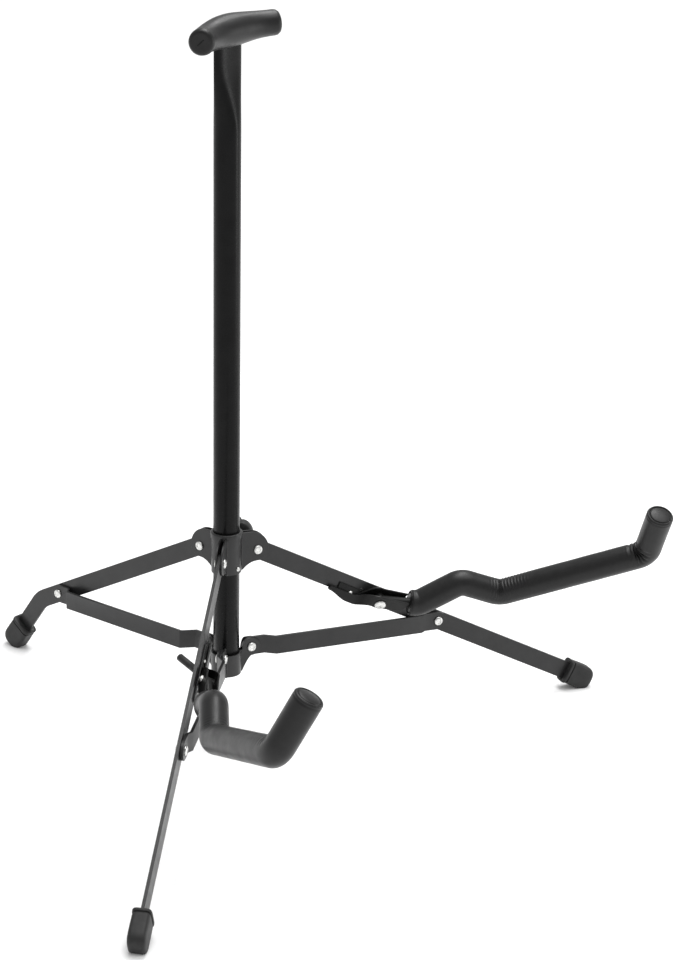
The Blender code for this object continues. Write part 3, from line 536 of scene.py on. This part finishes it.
def capped(rings, path, profile):
    """Close both ends of a sweep; profile holds (inset, set back) pairs from the rim inward."""
    result = list(rings)
    for end, inner in ((0, 1), (-1, -2)):
        middle = path[end]
        inward = (path[inner] - middle).normalized()
        rim = rings[end]
        extra = []
        for inset, depth in profile:
            extra.append([middle + inward * depth + (point - middle)
                          * max(0.02, 1 - inset / (point - middle).length) for point in rim])
        if end == 0:
            result = extra[::-1] + result
        else:
            result = result + extra
    return result


def resampled(path, spacing):
    """The same route with points no further apart than spacing."""
    result = [path[0]]
    for before, after in zip(path, path[1:]):
        steps = max(1, ceil((after - before).length / spacing))
        for step in range(1, steps + 1):
            result.append(before.lerp(after, step / steps))
    return result


def make_neck():
    """Foam over the cross rod, swollen over the mast, and the rod inside it."""
    level = TUBE_TOP + GAP + NECK_BAR_RADIUS
    path = []
    steps = 60
    for step in range(steps + 1):
        x = NECK_LENGTH * (step / steps - 0.5)
        path.append(mast_point(x, -NECK_SWEEP * (2 * x / NECK_LENGTH) ** 2,
                               level + NECK_LIFT + NECK_TILT * 2 * x / NECK_LENGTH))

    def radius_at(travelled, spoke, point):
        """Fullest over the mast, slightly uneven by hand fitting."""
        depth, scale, offset = NECK_WOBBLE
        ease = eased(abs(point.x) / (NECK_LENGTH / 2) * NECK_SPREAD)
        body = NECK_MIDDLE_RADIUS + (NECK_END_RADIUS - NECK_MIDDLE_RADIUS) * ease
        edge = NECK_LENGTH / 2 - abs(point.x)
        roll = NECK_EDGE_ROLL * max(0, 1 - edge / NECK_EDGE_LENGTH) ** 2
        wobble = noise.noise((point + spoke * offset) * scale) * depth
        return body - roll + wobble

    rings = capped(sweep_rings(path, radius_at, sides=64), path, NECK_CAP)
    foam = add_piece("neck_foam_finished", loft(rings), "mast", "foam_black", ("neck_foam",),
                     smooth=180)
    rod = [point for point in path if abs(point.x) <= NECK_BAR_HALF]
    rings = sweep_rings(rod, lambda travelled, spoke, point: NECK_BAR_RADIUS, sides=40)
    add_piece("neck_bar_finished", loft(rings), "mast", NODE_SLOTS["neck_bar"], ("neck_bar",),
              bevel=0.0003, smooth=60)
    # Painted shade: dark leaves in the foam's cut ends stand for the shade inside the slits
    make_slit_shade("right", path[-1], (path[-1] - path[-2]).normalized())
    make_slit_shade("left", path[0], (path[0] - path[1]).normalized())


def make_slit_shade(name, end, outward):
    """The slit in one cut end of the neck's foam, as a thin dark leaf in its face: painted shade that stands for
    the dark inside of the slit.
    """
    face = end + outward * SLIT_FACE
    up = (LEAN_AXIS - outward * LEAN_AXIS.dot(outward)).normalized()
    across = outward.cross(up)
    run = (up - across * SLIT_SLANT).normalized()
    thin = outward.cross(run)
    rings = []
    for share in (-1, -0.8, -0.3, 0.3, 0.8, 1):
        half = SLIT_HALF_WIDTH * sqrt(max(0.02, 1 - share * share))
        middle = face + run * (SLIT_HALF_LENGTH * share)
        rings.append([middle - thin * half - outward * SLIT_DEPTH,
                      middle - thin * half + outward * SLIT_PROUD,
                      middle + thin * half + outward * SLIT_PROUD,
                      middle + thin * half - outward * SLIT_DEPTH])
    # The leaf takes the dark mast paint as painted shade, where the real slit has only shade
    add_piece(f"neck_slit_shade_{name}", loft(rings), "mast", "rubber_black", finish="mast_paint",
              smooth=60)


def arm_route(name):
    """The arm's corner points from its pivot to the foam's tip, mirrored for the left arm."""
    flip = Matrix.Diagonal((SIDES[name], 1, 1))
    return [flip @ Vector(point) for point in ARM_CORNERS]


def rounded_path(points, radius, spacing):
    """A path through straight runs with its corners rounded to radius."""
    path = [points[0]]
    for before, corner, after in zip(points, points[1:], points[2:]):
        inward = (before - corner).normalized()
        outward = (after - corner).normalized()
        half = acos(max(-1, min(1, inward.dot(outward)))) / 2
        setback = radius / tan(half)
        middle = corner + (inward + outward).normalized() * (radius / sin(half))
        first = (corner + inward * setback - middle).normalized()
        last = (corner + outward * setback - middle).normalized()
        steps = max(2, ceil((pi - 2 * half) / spacing))
        for step in range(steps + 1):
            path.append(middle + first.slerp(last, step / steps) * radius)
    path.append(points[-1])
    return path


def trimmed(path, start):
    """The path without its first stretch of length start."""
    return [path[0] + (path[1] - path[0]).normalized() * start] + path[1:]


def make_arm(name):
    """Foam sleeve of an arm, with wrinkles inside its bends and a seamed cap."""
    corners = arm_route(name)
    base = rounded_path(corners, ROD_BEND, radians(5))
    path = resampled(trimmed(base, FOAM_START), FOAM_STEP)
    total = sum((after - before).length for before, after in zip(path, path[1:]))
    long = (corners[4] - corners[3]).normalized()
    folds = []
    for bend, (place, reach, depth, pitch, power) in ((3, DIP_CREASES), (4, ELBOW_CREASES)):
        inside = (corners[bend - 1] + corners[bend + 1]) / 2 - corners[bend]
        folds.append((corners[bend] + long * place, inside.normalized(), reach,
                      depth * WORN[name], pitch, power))

    def radius_at(travelled, spoke, point):
        """Round, with creases where the bend presses the foam together."""
        radius = FOAM_RADIUS
        for place, inside, reach, depth, pitch, power in folds:
            away = (point - place).length
            if away < reach:
                facing = max(0, spoke.dot(inside))
                fade = 1 - (away / reach) ** 2
                wander = noise.noise(spoke * CREASE_WANDER[1]) * CREASE_WANDER[0]
                crease = abs(sin(travelled * pitch + wander)) ** power
                radius -= depth * facing ** CREASE_SPREAD * fade * (1 - crease)
                radius += FOAM_PUFF * facing * fade
        radius += noise.noise(point * FOAM_WOBBLE[1]) * FOAM_WOBBLE[0]
        seam = total - travelled - SEAM_SETBACK
        radius -= SEAM_DEPTH * max(0, 1 - abs(seam) / SEAM_HALF)
        radius -= START_ROLL * max(0, 1 - travelled / START_ROLL_LENGTH) ** 2
        radius -= END_ROLL * max(0, 1 - (total - travelled) / END_ROLL_LENGTH) ** 2
        return radius

    rings = capped(sweep_rings(path, radius_at, sides=72), path, ARM_CAP)
    foam = add_piece(f"arm_foam_{name}_finished", loft(rings), f"arm_{name}", "foam_black",
                     (f"arm_foam_{name}",), smooth=180)


def make_rods():
    """The bare root of each rod, with its eye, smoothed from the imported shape."""
    for name in SIDES:
        dressed(f"arm_rod_{name}", bevel=0.0003, smooth=45)


def rivet_dome(seat, side):
    """Profile of a rivet's dimpled round head, from its crown down to the shank; side is 1 or
    -1, the way the head points along the axis."""
    head, rise = RIVET_HEAD_RADIUS, side * RIVET_HEAD_HEIGHT
    lip = head * DIMPLE[-1][0]
    profile = [(head * share, seat + rise * height) for share, height in DIMPLE]
    for step in range(1, 6):
        turn = radians(90) * step / 5
        profile.append((lip + (head - lip) * sin(turn),
                        seat + rise * (RIVET_HEAD_EDGE + (1 - RIVET_HEAD_EDGE) * cos(turn))))
    return profile + [(head, seat), (RIVET_RADIUS, seat)]


def domed_rivet(node, axis, reach):
    """A round-headed rivet whose two heads sit reach either side of its middle."""
    profile = rivet_dome(-reach, -1) + rivet_dome(reach, 1)[::-1]
    add_piece(f"{node}_finished", turned(profile, centre_of(node), axis), NODE_BODY[node],
              NODE_SLOTS[node], (node,), smooth=50)


def make_rivets():
    """Rivets and arm screws: most are turned anew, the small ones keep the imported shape."""
    for name in ("rear", "right", "left"):
        axis = JOINTS[f"strut_{name}_hinge"]["axis"]
        domed_rivet(f"hub_rivet_{name}", axis, EAR_SEAT)
        domed_rivet(f"knee_rivet_{name}", axis, KNEE_SEAT)
        for end in ("a", "b"):
            collar_head(name, end)
    for name in SIDES:
        for place in ("upper", "lower"):
            dressed(f"bracket_rivet_{name}_{place}", bevel=0.0002, smooth=60)
        make_arm_screw(name)
    dressed("collar_guide_rivet", bevel=0.0002, smooth=60)


def collar_head(name, end):
    """One head of the collar's rivet, with its stub in the ear."""
    node = f"collar_rivet_{name}_{end}"
    middle = (centre_of(f"collar_rivet_{name}_a") + centre_of(f"collar_rivet_{name}_b")) / 2
    outward = (centre_of(node) - middle).normalized()
    profile = [(RIVET_RADIUS, EAR_SEAT - RIVET_STUB)] + rivet_dome(EAR_SEAT, 1)[::-1]
    add_piece(f"{node}_finished", turned(profile, middle, outward), "collar", "bright_nickel",
              (node,), smooth=50)


def make_arm_screw(name):
    """The arm's screw: round head with a recess on the lower side, nut on the upper side."""
    joint = JOINTS[f"arm_{name}_swing"]
    axis = Vector(joint["axis"]).normalized()
    if axis.z > 0:
        axis = -axis
    centre = Vector(joint["pos_m"])
    half = ROD_RADIUS + CHANNEL_SIDE_GAP + SHEET + GAP
    profile = [(radius, -half - height) for radius, height in ARM_SCREW_END]
    for step in range(6):
        turn = radians(90) * step / 5
        profile.append((ARM_NUT_BORE + (ARM_NUT_RADIUS - ARM_NUT_BORE) * sin(turn),
                        -half - ARM_NUT_HEIGHT * cos(turn)))
    profile += [(ARM_NUT_RADIUS, -half), (ARM_SCREW_RADIUS, -half), (ARM_SCREW_RADIUS, half),
                (ARM_HEAD_RADIUS, half)]
    for step in range(6, 0, -1):
        turn = radians(90) * step / 6
        share = ARM_HEAD_FLAT + (1 - ARM_HEAD_FLAT) * sin(turn)
        profile.append((ARM_HEAD_RADIUS * share,
                        half + ARM_HEAD_EDGE + ARM_HEAD_RISE * cos(turn)))
    profile += [(ARM_HEAD_RADIUS * share, half + height) for share, height in ARM_HEAD_RECESS]
    add_piece(f"arm_screw_{name}_finished", turned(profile, centre, axis),
              NODE_BODY[f"arm_screw_{name}"], "bright_nickel", (f"arm_screw_{name}",), smooth=45)


def make_foot(name):
    """A moulded rubber boot: raised band at the mouth, boxy body, blunt end, flat sole."""
    toe, along = leg_toe(name)
    across = link_point(AZIMUTHS[name], 0, 1, 0) - link_point(AZIMUTHS[name], 0, 0, 0)
    up = along.cross(across).normalized()
    if up.z < 0:
        up = -up
    rings = []
    for run, wide, thick, power in BOOT_SECTIONS:
        rings.append([toe + along * run + up * x + across * y
                      for x, y in oval(wide, thick, power, sides=72)])
    shape = loft(rings)
    everything = shape.verts[:] + shape.edges[:] + shape.faces[:]
    cut = bmesh.ops.bisect_plane(shape, geom=everything, plane_co=(0, 0, SOLE_LEVEL),
                                 plane_no=(0, 0, 1), clear_inner=True)
    rim = [item for item in cut["geom_cut"] if isinstance(item, bmesh.types.BMEdge)]
    if rim:
        bmesh.ops.contextual_create(shape, geom=rim)
    add_piece(f"foot_{name}_finished", shape, NODE_BODY[f"foot_{name}"], "rubber_black",
              (f"foot_{name}",), bevel=0.0002, smooth=50)


def leg_toe(name):
    """Middle of a leg's round toe and the direction in which the leg ends."""
    slant = tan(LEG_SLOPE)
    azimuth = AZIMUTHS[name]
    lean = acos(LEAN_AXIS.z)
    if name == "rear":
        height = (TOE_LEVEL + REAR_TOE_REACH * sin(lean)) / cos(lean)
        bend = link_point(azimuth, REAR_BEND_REACH, 0,
                          COLLAR_LEVEL - (REAR_BEND_REACH - COLLAR_REACH) * slant)
        toe = link_point(azimuth, REAR_TOE_REACH, 0, height)
        return toe, (toe - bend).normalized()
    reach = COLLAR_LEVEL + COLLAR_REACH * slant - TOE_LEVEL / cos(lean)
    reach /= slant + sin(azimuth) * tan(lean)
    toe = link_point(azimuth, reach, 0, COLLAR_LEVEL - (reach - COLLAR_REACH) * slant)
    top = link_point(azimuth, COLLAR_REACH, 0, COLLAR_LEVEL)
    return toe, (toe - top).normalized()


def sheet_outline(reach, ear, dome, top_at, low_at):
    """Columns of a stamped sheet from ear to ear: place, normal, top and bottom height.

    With a dome, the upper edge of the ears is an arc round a centre that lies dome inward of
    the rivet; without one it follows top_at."""
    def arc_top(x):
        """Height of the ear's upper edge."""
        return sqrt(max(0, (ear + dome) ** 2 - max(0, x - reach + dome) ** 2))

    wrap = TUBE_RADIUS + GAP + SHEET / 2
    side = BAR_THICKNESS / 2 + GAP + SHEET / 2
    fillet = BEND_RADIUS + SHEET / 2
    root = sqrt((wrap + fillet) ** 2 - (side + fillet) ** 2)
    columns = []
    for step in range(13):
        turn = radians(4 + 86 * step / 12)
        x = reach + ear * cos(turn)
        columns.append((x, side, 0, 1, arc_top(x), -ear * sin(turn)))
    for step in range(1, 13):
        share = step / 12
        x = reach + (root - reach) * share
        top = arc_top(x) if dome else top_at(share)
        columns.append((x, side, 0, 1, top, low_at(share)))
    finish = atan2(side + fillet, root)
    for step in range(1, 6):
        turn = -pi / 2 - (pi / 2 - finish) * step / 5
        columns.append((root + fillet * cos(turn), side + fillet + fillet * sin(turn),
                        -cos(turn), -sin(turn), top_at(1), low_at(1)))
    arc = []
    for step in range(1, 24):
        turn = finish + (2 * pi / 3 - 2 * finish) * step / 24
        arc.append((wrap * cos(turn), wrap * sin(turn), cos(turn), sin(turn), top_at(1),
                    low_at(1)))
    far = 2 * pi / 3
    other = [(x * cos(far) + y * sin(far), x * sin(far) - y * cos(far),
              nx * cos(far) + ny * sin(far), nx * sin(far) - ny * cos(far), top, low)
             for x, y, nx, ny, top, low in reversed(columns)]
    return columns + arc + other


def make_sheets(prefix, body, level, reach, ear, dome, top_at, low_at):
    """The three stamped sheets of a collar, each between two legs."""
    starts = {"right": AZIMUTHS["right"], "left": AZIMUTHS["rear"], "front": AZIMUTHS["left"]}
    for name, azimuth in starts.items():
        rings = []
        for x, y, nx, ny, top, low in sheet_outline(reach, ear, dome, top_at, low_at):
            half = SHEET / 2
            rings.append([link_point(azimuth, x - nx * half, y - ny * half, level + low),
                          link_point(azimuth, x + nx * half, y + ny * half, level + low),
                          link_point(azimuth, x + nx * half, y + ny * half, level + top),
                          link_point(azimuth, x - nx * half, y - ny * half, level + top)])
        add_piece(f"{prefix}_plate_{name}_finished", loft(rings), body, "stamped_black",
                  (f"{prefix}_plate_{name}",), bevel=0.00035, smooth=32)


def make_collars():
    """The sliding collar with domed shoulders and a rolled top, and the hub with its low band."""
    def collar_top(share):
        """The band stands level with the crown of the ears."""
        return COLLAR_HALF

    def collar_low(share):
        """The lower edge sweeps in a hollow curve down to the band."""
        return -COLLAR_EAR - (COLLAR_HALF - COLLAR_EAR) * share ** 2.2

    def hub_top(share):
        """The ears stand above the band and drop to it at the tube."""
        return HUB_EAR + (HUB_BAND_TOP - HUB_EAR) * share ** 7

    def hub_low(share):
        """The lower edge runs down from the ear to the foot of the band."""
        return -HUB_EAR + (HUB_BAND_LOW + HUB_EAR) * share ** 1.4

    make_sheets("collar", "collar", COLLAR_LEVEL, COLLAR_REACH, COLLAR_EAR,
                COLLAR_HALF - COLLAR_EAR, collar_top, collar_low)
    make_sheets("hub", "mast", HUB_LEVEL, HUB_REACH, HUB_EAR, 0, hub_top, hub_low)
    inner = TUBE_RADIUS + GAP
    outer = inner + SHEET + COLLAR_RING_SWELL
    top = COLLAR_LEVEL + COLLAR_HALF + COLLAR_RING_LIFT
    outline = [(outer + more, drop) for more, drop in COLLAR_RING]
    outline = [(inner, outline[0][1])] + outline + [(inner, outline[-1][1])]
    turns = [2 * pi * step / COLLAR_RING_SIDES for step in range(COLLAR_RING_SIDES)]
    rings = [[mast_point(radius * cos(turn), radius * sin(turn), top - drop) for turn in turns]
             for radius, drop in outline]
    add_piece("collar_rolled_top", loft(rings, loop=True), "collar", "stamped_black", smooth=50)


def make_bracket(name):
    """The stamped bracket: a tail against the leg that opens into the channel round the arm."""
    rings = []
    steps = 30
    for step in range(steps + 1):
        run = -CHANNEL_REAR + (CHANNEL_REAR + CHANNEL_FRONT) * step / steps
        share = eased_over(run, TAIL_OPENS)
        inside = TAIL_HALF + (CHANNEL_HALF - TAIL_HALF) * share
        outside = inside + SHEET
        across = -TAIL_INSET + (TAIL_INSET - ARM_PIVOT_INSET) * share
        drop = -TAIL_DROP * (1 - share)
        cant = CANT * share
        ahead = max(0, run) * tan(ARM_RISE)
        floor = TAIL_FLOOR + (CHANNEL_FLOOR - TAIL_FLOOR) * eased_over(run, TAIL_BELLY) + ahead
        crest = TAIL_TOP + (CHANNEL_CREST - TAIL_TOP) * eased_over(run, TAIL_CREST)
        crest += ahead * CREST_FOLLOW
        section = [(-outside, floor - SHEET), (outside, floor - SHEET), (outside, crest),
                   (inside, crest), (inside, floor), (-inside, floor), (-inside, crest),
                   (-outside, crest)]
        rings.append([leg_point(name, ARM_PIVOT_RUN + run,
                                across + along * cos(cant) - height * sin(cant),
                                drop + along * sin(cant) + height * cos(cant))
                      for along, height in section])
    shape = loft(rings)
    near = -(BAR_THICKNESS / 2 + GAP)
    loft([[leg_point(name, run, depth, height) for run, height in TAB_CORNERS]
          for depth in (near, near - SHEET)], shape=shape)
    add_piece(f"bracket_{name}_finished", shape, NODE_BODY[f"bracket_{name}"], "satin_black",
              (f"bracket_{name}",), bevel=0.0003, smooth=35)


def make_peg(name):
    """A sleeved peg that leans back from the leg's outer face."""
    foot = leg_point(name, PEG_FOOT[0], 0, PEG_FOOT[1])
    tip = leg_point(name, *PEG_TIP)
    axis = (tip - foot).normalized()
    long = (tip - foot).length
    profile = list(PEG_STEM)
    profile += [(PEG_RADIUS - depth, long * share) for depth, share in PEG_GROOVE]
    profile += [(PEG_RADIUS - inset, long - back) for inset, back in PEG_ROUND]
    add_piece(f"peg_{name}_finished", turned(profile, foot, axis, sides=36),
              NODE_BODY[f"peg_{name}"], "rubber_black", (f"peg_{name}",), smooth=50)


def make_knob():
    """The lobed clamp knob on its screw."""
    joint = JOINTS["knob_turn"]
    axis = Vector(joint["axis"]).normalized()
    centre = mast_point(0, 0, KNOB_LEVEL)
    if axis.dot(Vector(joint["pos_m"]) - centre) < 0:
        axis = -axis
    up = (LEAN_AXIS - axis * LEAN_AXIS.dot(axis)).normalized()
    side = axis.cross(up)
    turns = [2 * pi * step / KNOB_SIDES for step in range(KNOB_SIDES)]
    rings = []
    for radius, height in KNOB_STEM:
        rings.append([centre + axis * height + (up * cos(turn) + side * sin(turn)) * radius
                      for turn in turns])
    for size, height in KNOB_HEAD:
        ring = []
        for turn in turns:
            lobe = KNOB_RADIUS + KNOB_LOBE * (abs(cos(turn * 2 + KNOB_PHASE)) ** 0.5 - 0.5)
            ring.append(centre + axis * (KNOB_START + height)
                        + (up * cos(turn) + side * sin(turn)) * lobe * size)
        rings.append(ring)
    add_piece("clamp_knob_finished", loft(rings), "knob", "plastic_black", ("clamp_knob",),
              bevel=0.0003, smooth=40)


def make_bars():
    """Legs, struts, boots and small parts with rounded, catch-light edges."""
    for name in ("rear", "right", "left"):
        dressed(f"leg_{name}", bevel=0.0005)
        dressed(f"strut_{name}", bevel=0.0005)
        make_foot(name)
    for name in SIDES:
        make_bracket(name)
        make_peg(name)
    dressed("mast_plug", bevel=0.0003)
    dressed("collar_nut", bevel=0.0004)
    make_knob()


def make_stage():
    """A wide pale floor just under the boots."""
    shape = bmesh.new()
    bmesh.ops.create_grid(shape, x_segments=8, y_segments=8, size=FLOOR_HALF)
    mesh = bpy.data.meshes.new("floor")
    shape.to_mesh(mesh)
    shape.free()
    floor = bpy.data.objects.new("floor", mesh)
    bpy.context.scene.collection.objects.link(floor)
    floor.location.z = -FLOOR_DROP
    made, _, shader = node_tree("floor_white")
    shader.inputs["Base Color"].default_value = (0.93, 0.93, 0.93, 1)
    shader.inputs["Roughness"].default_value = 0.9
    mesh.materials.append(made)


def add_light(name, place, aim, size, power, size_y=None):
    """A soft rectangular lamp that looks at a point."""
    lamp = bpy.data.lights.new(name, 'AREA')
    lamp.shape = 'RECTANGLE'
    lamp.size = size
    lamp.size_y = size_y or size
    lamp.energy = power
    lamp_object = bpy.data.objects.new(name, lamp)
    bpy.context.scene.collection.objects.link(lamp_object)
    lamp_object.location = place
    direction = Vector(place) - Vector(aim)
    lamp_object.rotation_euler = direction.to_track_quat('Z', 'Y').to_euler()


def make_lights():
    """An even sky, a very soft high sun and three soft boxes for the highlights."""
    world = bpy.data.worlds.new("studio")
    bpy.context.scene.world = world
    world.use_nodes = True
    background = world.node_tree.nodes["Background"]
    background.inputs["Color"].default_value = (1, 1, 1, 1)
    background.inputs["Strength"].default_value = SKY_STRENGTH
    sun = bpy.data.lights.new("sun", 'SUN')
    sun.energy = SUN_STRENGTH
    sun.angle = SUN_SPREAD
    sun_object = bpy.data.objects.new("sun", sun)
    bpy.context.scene.collection.objects.link(sun_object)
    sun_object.rotation_euler = SUN_FROM.to_track_quat('Z', 'Y').to_euler()
    add_light("key", place=(1.4, 0.6, 2.5), aim=(0, 0, 0.3), size=0.9, power=16)
    add_light("side", place=(1.7, -2.1, 0.7), aim=(0, 0, 0.35), size=0.35, power=12, size_y=1.6)
    add_light("top", place=(0.5, 0.1, 2.6), aim=(0.15, -0.1, 0), size=1.0, power=14)


def make_camera():
    """The photograph's view, from the fitted camera."""
    back = Vector((sin(CAMERA_AZIMUTH) * cos(CAMERA_ELEVATION),
                   -cos(CAMERA_AZIMUTH) * cos(CAMERA_ELEVATION), sin(CAMERA_ELEVATION)))
    aim = MAST_FOOT + Vector((0, 0, AIM_HEIGHT))
    level = Vector((cos(CAMERA_AZIMUTH), sin(CAMERA_AZIMUTH), 0))
    upright = level.cross(-back)
    right = level * cos(CAMERA_ROLL) + upright * sin(CAMERA_ROLL)
    up = upright * cos(CAMERA_ROLL) - level * sin(CAMERA_ROLL)
    data = bpy.data.cameras.new("camera")
    data.sensor_width = SENSOR
    data.lens = FOCAL_PIXELS * SENSOR / PHOTO_HEIGHT
    data.shift_x = (PHOTO_WIDTH / 2 - CENTRE_PIXEL[0]) / PHOTO_HEIGHT
    data.shift_y = (CENTRE_PIXEL[1] - PHOTO_HEIGHT / 2) / PHOTO_HEIGHT
    camera = bpy.data.objects.new("camera", data)
    bpy.context.scene.collection.objects.link(camera)
    place = aim + back * CAMERA_DISTANCE
    camera.matrix_world = Matrix(((right.x, up.x, back.x, place.x),
                                  (right.y, up.y, back.y, place.y),
                                  (right.z, up.z, back.z, place.z),
                                  (0, 0, 0, 1)))
    bpy.context.scene.camera = camera
    bpy.context.scene.view_settings.view_transform = 'Standard'


make_camera()
make_stage()
make_lights()
make_mast()
make_neck()
for arm in SIDES:
    make_arm(arm)
make_rods()
make_collars()
make_bars()
make_rivets()

bpy.context.view_layer.update()
